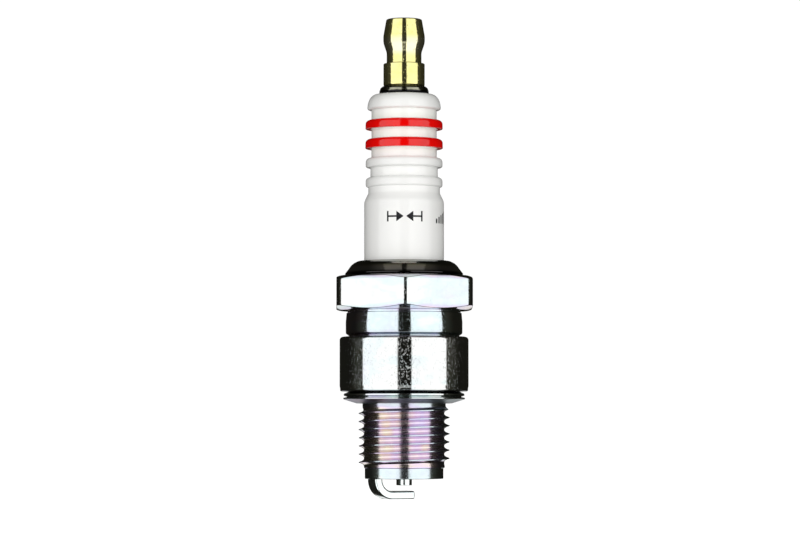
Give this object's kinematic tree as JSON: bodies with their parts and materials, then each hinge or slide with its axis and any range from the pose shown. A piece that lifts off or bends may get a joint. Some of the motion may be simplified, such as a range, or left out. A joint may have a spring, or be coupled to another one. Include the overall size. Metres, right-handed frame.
{
  "type": "spark plug",
  "caption": "Small-engine spark plug: ribbed white insulator, screw-on brass terminal nut, plated hexagon shell with a short thread, folded gasket and bent ground strap.",
  "frame": {"origin": "on the axis, in the plane of the shell's seat face, which presses on the gasket", "axes": "+Z along the axis towards the terminal, -Z into the cylinder head; +X normal to one hexagon flat, a hexagon corner at -Y"},
  "size_m": [0.0208, 0.0236, 0.0739],
  "materials": {
    "brass_nut": "bright turned brass",
    "dark_steel": "dark plated, glossy",
    "glazed_white": "white glaze, two ribs glazed red",
    "seal_glass": "fused metal-filled glass",
    "resistor_mass": "fired carbon and glass mass",
    "nickel_alloy": "drawn nickel alloy",
    "copper_core": "bare copper",
    "plated_steel": "bright plating with a faint rainbow passivation",
    "bare_steel": "soft steel, bare",
    "talc": "pressed powder"
  },
  "bodies": {
    "plug_body": {"metal_shell": "plated_steel", "insulator": "glazed_white", "terminal_stud": "dark_steel", "upper_glass_seal": "seal_glass", "resistor": "resistor_mass", "lower_glass_seal": "seal_glass", "center_electrode": "nickel_alloy", "center_electrode_core": "copper_core", "seat_packing_ring": "bare_steel", "lower_line_ring": "bare_steel", "talc_ring": "talc", "upper_line_ring": "bare_steel", "ground_electrode": "nickel_alloy"},
    "nut": {"terminal_nut": "brass_nut"},
    "gasket_ring": {"gasket": "plated_steel"}
  },
  "joints": [
    {"name": "nut_unscrew", "type": "slide", "parent": "plug_body", "child": "nut", "axis": [0, 0, 1], "range_m": [0, 0.012]},
    {"name": "gasket_drop", "type": "slide", "parent": "plug_body", "child": "gasket_ring", "axis": [0, 0, -1], "range_m": [0, 0.0008]}
  ]
}
